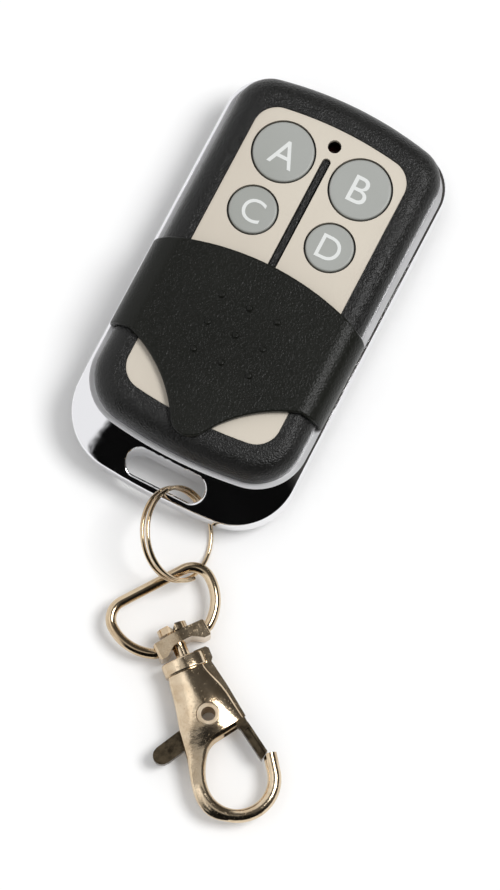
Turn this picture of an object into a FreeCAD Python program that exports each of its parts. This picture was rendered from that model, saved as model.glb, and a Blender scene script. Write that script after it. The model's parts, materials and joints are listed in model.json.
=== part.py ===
import FreeCAD, Part
import Sketcher
import math
import os
import re

Vector = FreeCAD.Vector
Rotation = FreeCAD.Rotation
Placement = FreeCAD.Placement

# Remote control with a sliding cover, and its swivel clasp on a split ring.
# Millimetres. Origin: middle of the remote's back face. +Y runs to the indicator end, +Z out of the keys.

# Driving sizes
sizes = {
    # upper shell's outline: half width, top end, low end, corner rounds; the end crowns of every outline
    "upper_half": 15.0, "upper_end_top": 29.1,
    "upper_round_top": 5.0, "upper_round_low": 6.6, "crown_top": 52.0, "crown_low": 62.0,
    # outlines of the frame, its flat rim, the lower shell and the plate, each measured from its neighbour
    "ledge_side": 1.15, "ledge_top": 0.3, "lip_reach": 5.7, "frame_round_top": 5.8, "frame_round_low": 8.4,
    "rim_side": 0.72, "rim_top": 0.2, "rim_low": 0.75,
    "step_side": 0.75, "step_top": 0.6, "step_low": 0.4, "lower_round_top": 5.0, "lower_round_low": 7.0,
    "plate_side": 3.8, "plate_end": 4.4, "plate_foot": 4.5, "plate_round": 3.5,
    # housing heights
    "lower_rim": 2.8, "frame_rim": 8.3, "upper_top": 12.2, "plate_top": 12.0,
    "plate_thick": 0.8, "roof_under_plate": 1.0,
    # walls and edges
    "floor_wall": 1.1, "spigot_wall": 1.0, "upper_wall": 1.3, "frame_inset": 2.0,
    "fit_gap": 0.1, "plate_gap": 0.08,
    "upper_edge_round": 2.9, "lower_edge_round": 1.2, "frame_edge_round": 0.5,
    # lip of the frame, with the key ring slot
    "lip_end_height": 5.7,
    "slot_half_length": 5.7, "slot_half_width": 1.72, "slot_bar": 2.87, "slot_edge": 0.3,
    # keys
    "key_row_upper": 18.55, "key_row_lower": 9.55,
    "key_hole_upper": 4.4, "key_hole_lower": 3.5, "key_gap": 0.25,
    "key_proud": 0.15, "key_flange": 0.45, "key_flange_thick": 0.7, "key_travel": 0.35,
    "key_free_gap": 0.1, "key_edge_round": 0.25,
    "light_hole": 0.92, "light_row": 22.3,
    # groove in the plate, with its rib
    "groove_half": 0.6, "groove_top": 20.4, "groove_low": 8.0, "rib_half": 0.36, "rib_drop": 0.15,
    # sliding cover
    "cover_gap": 0.2, "cover_wall": 0.85, "cover_side_wall": 0.68, "cover_side_gap": 0.12,
    "cover_lift": 0.15, "cover_edge_round": 0.3,
    "cover_top_side": 0.0, "cover_top_middle": 3.6, "cover_side_margin": 11.45, "cover_flank_inset": 2.3,
    "cover_flank_margin": 11.6, "cover_flank_round": 19.0, "cover_tip_margin": 1.9, "cover_tip_round": 2.7,
    "cover_corner": 1.1, "hook_depth": 0.5, "hook_height": 0.6, "track_gap": 0.12,
    "bump_pitch": 4.1, "bump_middle": 7.1, "bump_shift": 0.25, "bump_round": 0.45, "bump_height": 0.3,
    # board, switches and parts on the board
    "board_low": 4.3, "board_thick": 1.0, "board_gap": 0.45, "board_room_top": 2.8, "board_room_low": 7.5,
    "window_half": 4.3, "window_gap": 0.5, "corner_cut": 4.6,
    "switch_side": 6.0, "switch_height": 3.2, "plunger_round": 1.7, "plunger_gap": 0.08, "plunger_well": 1.2,
    "post_round": 1.2, "post_inset": 1.7, "post_margin": 2.6,
    "light_round": 1.5, "light_height": 4.2, "light_leg": 0.25, "light_leg_pitch": 1.27,
    "chip_wide": 3.9, "chip_long": 8.6, "chip_high": 1.5, "chip_inset": 4.2, "chip_row": 2.0,
    "saw_side": 5.0, "saw_high": 1.35, "saw_row": 0.5,
    "trimmer_round": 2.0, "trimmer_high": 1.6, "trimmer_row": 7.4,
    "small_long": 1.6, "small_wide": 0.8, "small_high": 0.5, "small_inset": 1.4, "small_gap": 0.4,
    "small_step": 1.6, "small_pitch": 2.6,
    "transistor_long": 2.9, "transistor_wide": 1.3, "transistor_high": 1.0, "transistor_row": 4.2,
    # battery and its contacts
    "cell_round": 3.9, "cell_long": 27.6, "cell_spare": 3.5, "cell_room": 0.8, "cell_height": 5.1,
    "cell_nub_round": 1.6, "cell_nub": 0.5,
    "contact_thick": 0.3, "contact_half": 2.6, "contact_tall": 5.0, "contact_foot": 2.0,
    "cradle_thick": 1.0, "cradle_half": 4.9, "cradle_top": 3.4, "cradle_row_low": 15.0, "cradle_row_top": 1.0,
    # case screws
    "screw_inset_top": 3.45, "screw_margin_top": 3.6, "screw_inset_low": 3.85, "screw_margin_low": 4.1,
    "screw_round": 1.0, "screw_head_round": 1.9, "screw_head": 1.0, "screw_long": 10.4, "boss_round": 2.1,
    "screw_gap": 0.15, "pilot_gap": 0.02,
    "drive_wide": 0.45, "drive_long": 2.2, "drive_deep": 0.6,
    # split ring: two turns of wire
    "ring_round": 6.2, "ring_wire": 0.3, "ring_pitch": 1.02, "ring_turns": 1.75,
    "ring_x": 4.896, "ring_reach": 3.112, "ring_z": 4.783, "ring_lean_x": 0.6806, "ring_lean_y": 0.2459,
    "ring_start": 50.84,
    # bow of the clasp: a bent wire with in-turned ends
    "bow_wire": 0.72, "bow_depth": 8.34, "bow_bar_half": 4.65, "bow_corner": 2.6, "bow_side": 6.6,
    "bow_end_turn": 0.8, "bow_end_inner": 2.35,
    # yoke between the bow and the clasp
    "link_x": 11.74, "link_reach": 15.29, "link_height": 2.8, "bow_turn": 55.2, "clasp_turn": 49.7,
    "clasp_shift": 0.6,
    "yoke_half": 3.8, "yoke_tall": 2.3, "yoke_end_tall": 1.7, "yoke_end_low": 1.4, "yoke_end_top": 0.95,
    "yoke_arch": 0.45, "yoke_top": 1.05, "yoke_bore_gap": 0.07, "yoke_post_gap": 0.07, "yoke_edge": 0.4,
    # clasp: collar and post
    "collar_drop": 2.35, "collar_half": 2.95, "collar_shift": 0.35, "collar_tall": 2.5, "collar_side": 1.3,
    "collar_long": 1.85, "collar_edge": 0.25,
    "post_wire": 0.95, "knob_round": 2.05, "knob_long": 0.95, "knob_lift": 1.25, "knob_notch": 0.5,
    # clasp: chest and limb, and the plate along their side
    "body_long": 21.85, "chest_half": 4.3, "chest_tall": 2.4, "body_round": 0.5,
    "plate_low": 0.2, "plate_high": 0.75, "ear_half": 3.5, "ear_rise": 0.3,
    # clasp: hook, with the bead round its opening; each lift is measured up from the body's lower end
    "hook_wire": 0.92, "hook_round": 4.9, "hook_x": 0.35, "hook_lift": 4.25, "hook_tip_long": 2.4,
    "rim_x": 3.5, "rim_lift": 11.65, "rim_fall": 11.4, "rim_long": 0.6,
    "bend_x": 2.65, "bend_lift": 9.48, "bend_fall": 54.4,
    "bead_wire": 0.62, "bead_lift": 1.3, "bead_inset": 0.35,
    "rivet_lift": 13.38, "rivet_round": 1.15, "rivet_bore": 0.95, "rivet_flange": 1.52,
    "rivet_flange_thick": 0.3, "rivet_seat": 2.2, "rivet_gap": 0.05,
    # gate and its spring
    "gate_low": 1.1, "gate_thick": 1.4, "gate_hub": 2.0, "gate_gap": 0.12, "gate_swing": 25.0,
    "gate_bar_lift": 10.55, "gate_bar_long": 4.95, "gate_bar_half": 0.68, "gate_bar_top": 0.95,
    "gate_channel": 0.36, "gate_channel_deep": 0.45, "gate_lean": 11.0, "gate_column": 3.85,
    "gate_face": 33.7, "lever_tip_x": 7.65, "lever_tip_lift": 10.9, "lever_tip_round": 1.2, "lever_root": 1.5,
    "spring_round": 1.85, "spring_wire": 0.3, "spring_long": 0.55,
}

# Heights and places worked out from the driving sizes
worked_out = {
    "upper_end_low": "cell_long - cell_spare",
    "key_column": "upper_half*23/60",
    "cover_side_low": "upper_end_low - cover_side_margin",
    "cover_flank_height": "upper_end_low - cover_flank_margin",
    "cover_tip": "upper_end_low - cover_tip_margin",
    "ring_y": "frame_end_low + ring_reach",
    "link_y": "frame_end_low + link_reach",
    "plate_floor": "plate_top - plate_thick",
    "roof_under": "plate_floor - roof_under_plate",
    "flange_top": "roof_under - key_free_gap",
    "flange_low": "flange_top - key_flange_thick",
    "board_top": "board_low + board_thick",
    "switch_top": "board_top + switch_height",
    "cover_under": "upper_top + cover_gap",
    "cover_top": "cover_under + cover_wall",
    "cover_inner": "upper_half + cover_side_gap",
    "cover_outer": "cover_inner + cover_side_wall",
    "cover_low": "frame_rim + cover_lift",
    "hook_top": "cover_low + hook_height",
    "track_depth": "hook_depth + track_gap - cover_side_gap",
    "frame_half": "upper_half + ledge_side",
    "frame_end_top": "upper_end_top + ledge_top",
    "frame_end_low": "upper_end_low + lip_reach",
    "rim_half": "upper_half + rim_side",
    "rim_end_top": "upper_end_top - rim_top",
    "rim_end_low": "upper_end_low + rim_low",
    "lower_half": "frame_half - step_side",
    "lower_end_top": "frame_end_top - step_top",
    "lower_end_low": "upper_end_low + step_low",
    "plate_half": "upper_half - plate_side",
    "plate_end_top": "upper_end_top - plate_end",
    "plate_end_low": "upper_end_low - plate_foot",
    "slot_place": "frame_end_low - slot_bar",
    "spigot_half": "frame_half - frame_inset - fit_gap",
    "spigot_end_top": "lower_end_top - 0.7",
    "spigot_end_low": "lower_end_low - 1",
    "screw_column_top": "spigot_half - screw_inset_top",
    "screw_row_top": "spigot_end_top - screw_margin_top",
    "screw_column_low": "spigot_half - screw_inset_low",
    "screw_row_low": "spigot_end_low - screw_margin_low",
    "board_half": "spigot_half - spigot_wall - board_gap",
    "board_top_end": "spigot_end_top - board_room_top",
    "board_low_end": "spigot_end_low - board_room_low",
    "post_column": "board_half - post_inset",
    "post_row": "board_low_end - post_margin",
    "chip_column": "board_half - chip_inset",
    "cell_low_end": "spigot_end_low - spigot_wall - cell_room",
    "cell_top_end": "cell_long - cell_low_end",
    "window_top": "cell_top_end + window_gap",
    "cover_flank_start": "upper_half - cover_flank_inset",
    "small_row": "key_row_lower - switch_side/2 - small_wide/2 - small_gap",
    "key_row_middle": "(key_row_upper + key_row_lower)/2",
    "hook_row": "body_long - hook_lift",
    "rim_row": "body_long - rim_lift",
    "bend_row": "body_long - bend_lift",
    "rivet_row": "body_long - rivet_lift",
    "gate_bar_start": "body_long - gate_bar_lift",
    "lever_tip_row": "body_long - lever_tip_lift",
}

doc = FreeCAD.newDocument("remote_control")
sheet = doc.addObject("Spreadsheet::Sheet", "Sizes")
for row, (alias, size) in enumerate(sizes.items(), start=1):
    sheet.set(f"A{row}", str(size))
    sheet.setAlias(f"A{row}", alias)
doc.recompute()

pieces = {}


def formula(text):
    """Turn names of sizes into references to the sheet, with the worked-out names written out."""
    def swap(found):
        word = found.group()
        if word in worked_out:
            return f"({formula(worked_out[word])})"
        return f"Sizes.{word}" if word in sizes else word
    return re.sub(r"[a-z][a-z_]*", swap, str(text))


measure = doc.addObject("App::FeaturePython", "Measure")


def value(text):
    return float(measure.evalExpression(formula(text)))


def bind(target, **formulas):
    for name, text in formulas.items():
        target.setExpression(name.replace("__", "."), formula(text))


# Sketch helpers
def new_body(label, place=None):
    body = doc.addObject("PartDesign::Body", "body_" + label)
    body.Label = label
    if place is not None:
        body.Placement = place
    pieces[label] = body
    return body


def new_sketch(body, name, role="XY_Plane", offset="0"):
    sketch = body.newObject("Sketcher::SketchObject", name)
    plane = next(item for item in body.Origin.OriginFeatures if item.Role == role)
    sketch.AttachmentSupport = [(plane, "")]
    sketch.MapMode = "FlatFace"
    bind(sketch, AttachmentOffset__Base__z=offset)
    return sketch


def tie_along(sketch, kind, element, point, text):
    """Hold one coordinate of a point at a formula, measured from the sketch's origin."""
    now = value(text)
    if abs(now) < 1e-9:
        axis = -2 if kind == "DistanceX" else -1
        sketch.addConstraint(Sketcher.Constraint("PointOnObject", element, point, axis))
        return
    if now > 0:
        index = sketch.addConstraint(Sketcher.Constraint(kind, -1, 1, element, point, now))
        sketch.setExpression(f"Constraints[{index}]", formula(text))
    else:
        index = sketch.addConstraint(Sketcher.Constraint(kind, element, point, -1, 1, -now))
        sketch.setExpression(f"Constraints[{index}]", formula(f"-({text})"))


def tie_point(sketch, element, point, x, y):
    tie_along(sketch, "DistanceX", element, point, x)
    tie_along(sketch, "DistanceY", element, point, y)


def tie_radius(sketch, element, text):
    index = sketch.addConstraint(Sketcher.Constraint("Radius", element, value(text)))
    sketch.setExpression(f"Constraints[{index}]", formula(text))


def draw_circle(sketch, x, y, radius):
    centre = Vector(value(x), value(y), 0)
    element = sketch.addGeometry(Part.Circle(centre, Vector(0, 0, 1), value(radius)))
    tie_point(sketch, element, 3, x, y)
    tie_radius(sketch, element, radius)


def draw_box(sketch, low_x, low_y, high_x, high_y):
    x0, y0, x1, y1 = (value(text) for text in (low_x, low_y, high_x, high_y))
    corners = [Vector(x0, y0), Vector(x1, y0), Vector(x1, y1), Vector(x0, y1)]
    sides = [sketch.addGeometry(Part.LineSegment(corners[i], corners[(i + 1) % 4])) for i in range(4)]
    for i in range(4):
        sketch.addConstraint(Sketcher.Constraint("Coincident", sides[i], 2, sides[(i + 1) % 4], 1))
        sketch.addConstraint(Sketcher.Constraint("Vertical" if i % 2 else "Horizontal", sides[i]))
    tie_point(sketch, sides[0], 1, low_x, low_y)
    tie_point(sketch, sides[2], 1, high_x, high_y)


def draw_polygon(sketch, corners):
    points = [Vector(value(x), value(y), 0) for x, y in corners]
    count = len(points)
    sides = [sketch.addGeometry(Part.LineSegment(points[i], points[(i + 1) % count])) for i in range(count)]
    for i in range(count):
        sketch.addConstraint(Sketcher.Constraint("Coincident", sides[i], 2, sides[(i + 1) % count], 1))
        tie_point(sketch, sides[i], 1, *corners[i])


def draw_outline(sketch, half, top, low, round_top, round_low, crown_top="crown_top", crown_low="crown_low"):
    """A rounded oblong whose two ends are crowned: 2 sides, 2 crowns and 4 corner rounds."""
    a, t, b, rt, rb, ct, cb = (value(i) for i in (half, top, low, round_top, round_low, crown_top, crown_low))
    yt = t - ct + math.sqrt((ct - rt) ** 2 - (a - rt) ** 2)
    yb = -b + cb - math.sqrt((cb - rb) ** 2 - (a - rb) ** 2)
    turn_t = math.atan2(yt - (t - ct), a - rt)
    turn_b = math.atan2((cb - b) - yb, a - rb)
    full = math.pi

    def arc(x, y, radius, start, end):
        return Part.ArcOfCircle(Part.Circle(Vector(x, y, 0), Vector(0, 0, 1), radius), start, end)

    ids = [
        sketch.addGeometry(Part.LineSegment(Vector(a, yb), Vector(a, yt))),
        sketch.addGeometry(arc(a - rt, yt, rt, 0, turn_t)),
        sketch.addGeometry(arc(0, t - ct, ct, turn_t, full - turn_t)),
        sketch.addGeometry(arc(rt - a, yt, rt, full - turn_t, full)),
        sketch.addGeometry(Part.LineSegment(Vector(-a, yt), Vector(-a, yb))),
        sketch.addGeometry(arc(rb - a, yb, rb, full, full + turn_b)),
        sketch.addGeometry(arc(0, cb - b, cb, full + turn_b, 2 * full - turn_b)),
        sketch.addGeometry(arc(a - rb, yb, rb, 2 * full - turn_b, 2 * full)),
    ]
    for i in range(8):
        sketch.addConstraint(Sketcher.Constraint("Tangent", ids[i], 2, ids[(i + 1) % 8], 1))
    for side, sign in ((0, ""), (4, "-")):
        sketch.addConstraint(Sketcher.Constraint("Vertical", ids[side]))
        tie_along(sketch, "DistanceX", ids[side], 1, f"{sign}({half})")
    for corner, size in ((1, round_top), (3, round_top), (5, round_low), (7, round_low)):
        tie_radius(sketch, ids[corner], size)
    for crown, size, place in ((2, crown_top, f"{top} - {crown_top}"),
                               (6, crown_low, f"{crown_low} - ({low})")):
        tie_radius(sketch, ids[crown], size)
        tie_point(sketch, ids[crown], 3, "0", place)


# Feature helpers
def apply_feature(body, kind, sketch, length, upward):
    """Add or cut along the sketch's normal; a cut has to take something away."""
    before = body.Shape.Volume if kind == "Pocket" else 0
    feature = body.newObject("PartDesign::" + kind, kind + "_" + sketch.Name)
    feature.Profile = sketch
    feature.Reversed = upward if kind == "Pocket" else not upward
    bind(feature, Length=length)
    doc.recompute()
    if not feature.isValid() or feature.Shape.isNull():
        raise RuntimeError(f"{feature.Name} did not compute")
    if kind == "Pocket" and body.Shape.Volume > before - 1e-6:
        raise RuntimeError(f"{feature.Name} cut nothing")
    return feature


def pad(body, sketch, length, upward=True):
    return apply_feature(body, "Pad", sketch, length, upward)


def pocket(body, sketch, length, upward=False):
    return apply_feature(body, "Pocket", sketch, length, upward)


def round_edges(body, feature, chosen, size, kind="Fillet"):
    names = [f"Edge{i}" for i, edge in enumerate(feature.Shape.Edges, start=1) if chosen(edge)]
    if not names:
        raise RuntimeError(f"no edges to round on {body.Label}")
    finish = body.newObject("PartDesign::" + kind, f"{kind}_{feature.Name}")
    finish.Base = (feature, names)
    bind(finish, **{"Radius" if kind == "Fillet" else "Size": size})
    doc.recompute()
    if not finish.isValid() or finish.Shape.isNull():
        raise RuntimeError(f"{finish.Name} did not compute")
    return finish


def level_edge(height, within=1e-4):
    return lambda edge: all(abs(v.Z - height) < within for v in edge.Vertexes)


def primitive(kind, name, place=None, **formulas):
    shape = doc.addObject("Part::" + kind, name)
    if place is not None:
        shape.Placement = place
    bind(shape, **formulas)
    return shape


def block(name, low_x, low_y, low_z, long_x, long_y, long_z):
    return primitive("Box", name, Length=long_x, Width=long_y, Height=long_z,
                     Placement__Base__x=low_x, Placement__Base__y=low_y, Placement__Base__z=low_z)


def rod(name, x, y, z, radius, height):
    return primitive("Cylinder", name, Radius=radius, Height=height,
                     Placement__Base__x=x, Placement__Base__y=y, Placement__Base__z=z)


def join(name, *shapes):
    whole = doc.addObject("Part::MultiFuse", name)
    whole.Shapes = list(shapes)
    return whole


def cut(name, base, tool):
    whole = doc.addObject("Part::Cut", name)
    whole.Base = base
    whole.Tool = tool
    return whole


def finished(label, shape):
    shape.Label = label
    pieces[label] = shape
    return shape


def from_shape(label, shape, place=None):
    feature = doc.addObject("Part::Feature", "form_" + label)
    feature.Shape = shape
    if place is not None:
        feature.Placement = place
    return finished(label, feature)


keys = {
    "a": ("-key_column", "key_row_upper", "key_hole_upper"),
    "b": ("key_column", "key_row_upper", "key_hole_upper"),
    "c": ("-key_column", "key_row_lower", "key_hole_lower"),
    "d": ("key_column", "key_row_lower", "key_hole_lower"),
}
screw_places = [(f"{side}{column}", row)
                for column, row in (("screw_column_top", "screw_row_top"),
                                    ("screw_column_low", "-screw_row_low"))
                for side in ("", "-")]
post_places = [(f"{side}post_column", f"{end}post_row") for side in ("", "-") for end in ("", "-")]


# Lower shell: the rear half of the housing, with a spigot that carries the frame
def lower_shell():
    body = new_body("lower_shell")
    outer = new_sketch(body, "lower_outer")
    draw_outline(outer, "lower_half", "lower_end_top", "lower_end_low", "lower_round_top", "lower_round_low")
    plinth = pad(body, outer, "lower_rim")
    round_edges(body, plinth, level_edge(0), "lower_edge_round")
    spigot = new_sketch(body, "lower_spigot", offset="lower_rim")
    draw_outline(spigot, "spigot_half", "spigot_end_top", "spigot_end_low",
                 "lower_round_top - 1", "lower_round_low - 1")
    pad(body, spigot, "frame_rim - lower_rim")
    hollow = new_sketch(body, "lower_hollow", offset="frame_rim")
    draw_outline(hollow, "spigot_half - spigot_wall", "spigot_end_top - spigot_wall",
                 "spigot_end_low - spigot_wall", "lower_round_top - 1 - spigot_wall",
                 "lower_round_low - 1 - spigot_wall")
    pocket(body, hollow, "frame_rim - floor_wall")
    bosses = new_sketch(body, "lower_bosses", offset="floor_wall")
    for x, y in screw_places:
        draw_circle(bosses, x, y, "boss_round")
    pad(body, bosses, "frame_rim - floor_wall")
    posts = new_sketch(body, "lower_posts", offset="floor_wall")
    for x, y in post_places:
        draw_circle(posts, x, y, "post_round")
    pad(body, posts, "board_low - floor_wall")
    ribs = new_sketch(body, "lower_ribs", offset="floor_wall")
    for row in ("-cradle_row_low", "cradle_row_top"):
        draw_box(ribs, "-cradle_half", f"{row} - cradle_thick/2", "cradle_half", f"{row} + cradle_thick/2")
    pad(body, ribs, "cradle_top - floor_wall")
    trough = new_sketch(body, "lower_trough", "XZ_Plane", offset="-cell_top_end")
    draw_circle(trough, "0", "cell_height", "cell_round + fit_gap")
    pocket(body, trough, "cell_long", upward=True)
    heads = new_sketch(body, "lower_heads")
    for x, y in screw_places:
        draw_circle(heads, x, y, "screw_head_round + screw_gap")
    pocket(body, heads, "screw_head", upward=True)
    shanks = new_sketch(body, "lower_shanks")
    for x, y in screw_places:
        draw_circle(shanks, x, y, "screw_round + screw_gap")
    pocket(body, shanks, "frame_rim", upward=True)


# Chrome frame: the band between the shells, with the lip and slot for the key ring
def chrome_frame():
    body = new_body("chrome_frame")
    crest = new_sketch(body, "frame_crest", offset="frame_rim")
    draw_outline(crest, "rim_half", "rim_end_top", "rim_end_low", "upper_round_top + rim_side",
                 "upper_round_low + rim_side")
    hill = pad(body, crest, "frame_rim - lower_rim", upward=False)
    bind(hill, TaperAngle="atan((frame_end_low - rim_end_low)/(frame_rim - lip_end_height))")
    doc.recompute()
    trim = new_sketch(body, "frame_trim", offset="frame_rim")
    draw_box(trim, "-3*frame_half", "-2*frame_end_low", "3*frame_half", "2*frame_end_top")
    draw_outline(trim, "frame_half", "frame_end_top", "frame_end_low", "frame_round_top", "frame_round_low",
                 crown_low="crown_low + 24")
    trimmed = pocket(body, trim, "frame_rim - lower_rim")
    top = value("frame_rim")
    low = value("lower_rim")

    def outer_rim(edge):
        return all(low + 0.5 < v.Z < top - 0.02 for v in edge.Vertexes)

    round_edges(body, trimmed, outer_rim, "frame_edge_round")
    opening = new_sketch(body, "frame_opening", offset="lower_rim")
    draw_outline(opening, "spigot_half + fit_gap", "spigot_end_top + fit_gap", "spigot_end_low + fit_gap",
                 "lower_round_top - 1 + fit_gap", "lower_round_low - 1 + fit_gap")
    pocket(body, opening, "frame_rim - lower_rim", upward=True)
    slot = new_sketch(body, "frame_slot", offset="lower_rim")
    draw_slot(slot, "slot_half_length", "slot_half_width", "-slot_place")
    cutting = pocket(body, slot, "frame_rim - lower_rim", upward=True)
    reach_x = value("slot_half_length") + 0.01
    near = value("slot_half_width") + 0.01
    middle_y = -value("slot_place")

    def slot_rim(edge):
        box = edge.BoundBox
        along = box.YMin > middle_y - near and box.YMax < middle_y + near
        across = box.XMax < reach_x and box.XMin > -reach_x
        return along and across and box.ZMin > low + 1 and box.ZLength < value("2*slot_half_width")

    round_edges(body, cutting, slot_rim, "slot_edge")


def draw_slot(sketch, half_length, half_width, middle_y):
    """A level slot with round ends."""
    length = value(half_length)
    width = value(half_width)
    y = value(middle_y)
    straight = length - width
    full = math.pi
    up = Vector(0, 0, 1)
    right = Part.ArcOfCircle(Part.Circle(Vector(straight, y, 0), up, width), -full / 2, full / 2)
    left = Part.ArcOfCircle(Part.Circle(Vector(-straight, y, 0), up, width), full / 2, 1.5 * full)
    ids = [
        sketch.addGeometry(right),
        sketch.addGeometry(Part.LineSegment(Vector(straight, y + width), Vector(-straight, y + width))),
        sketch.addGeometry(left),
        sketch.addGeometry(Part.LineSegment(Vector(-straight, y - width), Vector(straight, y - width))),
    ]
    for i in range(4):
        sketch.addConstraint(Sketcher.Constraint("Tangent", ids[i], 2, ids[(i + 1) % 4], 1))
    tie_radius(sketch, ids[0], half_width)
    tie_point(sketch, ids[0], 3, f"{half_length} - {half_width}", middle_y)
    tie_point(sketch, ids[2], 3, f"-({half_length} - {half_width})", middle_y)


def draw_upright_slot(sketch, half_width, top, low):
    """A slot along the groove's line with round ends, from low to top."""
    width = value(half_width)
    y1 = value(top) - width
    y0 = value(low) + width
    full = math.pi
    head = Part.ArcOfCircle(Part.Circle(Vector(0, y1, 0), Vector(0, 0, 1), width), 0, full)
    foot = Part.ArcOfCircle(Part.Circle(Vector(0, y0, 0), Vector(0, 0, 1), width), full, 2 * full)
    ids = [
        sketch.addGeometry(head),
        sketch.addGeometry(Part.LineSegment(Vector(-width, y1), Vector(-width, y0))),
        sketch.addGeometry(foot),
        sketch.addGeometry(Part.LineSegment(Vector(width, y0), Vector(width, y1))),
    ]
    for i in range(4):
        sketch.addConstraint(Sketcher.Constraint("Tangent", ids[i], 2, ids[(i + 1) % 4], 1))
    tie_radius(sketch, ids[0], half_width)
    tie_point(sketch, ids[0], 3, "0", f"{top} - ({half_width})")
    tie_point(sketch, ids[2], 3, "0", f"{low} + {half_width}")


# Upper shell: the front half, with the plate's recess, the key holes and the cover's tracks
def upper_shell():
    body = new_body("upper_shell")
    outer = new_sketch(body, "upper_outer", offset="frame_rim")
    draw_outline(outer, "upper_half", "upper_end_top", "upper_end_low", "upper_round_top", "upper_round_low")
    dome = pad(body, outer, "upper_top - frame_rim")
    round_edges(body, dome, level_edge(value("upper_top")), "upper_edge_round")
    hollow = new_sketch(body, "upper_hollow", offset="frame_rim")
    draw_outline(hollow, "upper_half - upper_wall - track_depth", "upper_end_top - upper_wall",
                 "upper_end_low - upper_wall", "upper_round_top - upper_wall", "upper_round_low - upper_wall")
    pocket(body, hollow, "roof_under - frame_rim", upward=True)
    tracks = new_sketch(body, "upper_tracks", offset="frame_rim")
    for side in (1, -1):
        inner = "upper_half - track_depth"
        outer_edge = "upper_half + 1"
        low_x, high_x = (inner, outer_edge) if side > 0 else (f"-({outer_edge})", f"-({inner})")
        draw_box(tracks, low_x, "-cover_side_low - track_gap", high_x, "upper_end_top + 1")
    pocket(body, tracks, "hook_top - frame_rim + track_gap", upward=True)
    recess = new_sketch(body, "upper_recess", offset="upper_top")
    draw_outline(recess, "plate_half + plate_gap", "plate_end_top + plate_gap", "plate_end_low + plate_gap",
                 "plate_round", "plate_round")
    pocket(body, recess, "upper_top - plate_floor")
    holes = new_sketch(body, "upper_holes", offset="plate_floor")
    for x, y, hole in keys.values():
        draw_circle(holes, x, y, hole)
    draw_circle(holes, "0", "light_row", "light_hole")
    pocket(body, holes, "roof_under_plate")
    bosses = new_sketch(body, "upper_bosses", offset="frame_rim")
    for x, y in screw_places:
        draw_circle(bosses, x, y, "boss_round")
    pad(body, bosses, "roof_under - frame_rim")
    posts = new_sketch(body, "upper_posts", offset="board_top")
    for x, y in post_places:
        draw_circle(posts, x, y, "post_round")
    pad(body, posts, "roof_under - board_top")
    pilots = new_sketch(body, "upper_pilots", offset="frame_rim")
    for x, y in screw_places:
        draw_circle(pilots, x, y, "screw_round + pilot_gap")
    pocket(body, pilots, "screw_long - frame_rim + screw_gap*2", upward=True)
    rib = new_sketch(body, "upper_rib", offset="plate_floor")
    draw_upright_slot(rib, "rib_half", "groove_top - 0.3", "-groove_low + 0.3")
    pad(body, rib, "plate_thick - rib_drop")


# Face plate: thin metal inlay with the key holes and the groove
def face_plate():
    body = new_body("face_plate")
    outer = new_sketch(body, "plate_outer", offset="plate_floor")
    draw_outline(outer, "plate_half", "plate_end_top", "plate_end_low", "plate_round - plate_gap",
                 "plate_round - plate_gap")
    pad(body, outer, "plate_thick")
    holes = new_sketch(body, "plate_holes", offset="plate_top")
    for x, y, hole in keys.values():
        draw_circle(holes, x, y, hole)
    draw_circle(holes, "0", "light_row", "light_hole")
    draw_upright_slot(holes, "groove_half", "groove_top", "-groove_low")
    pocket(body, holes, "plate_thick")


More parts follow.
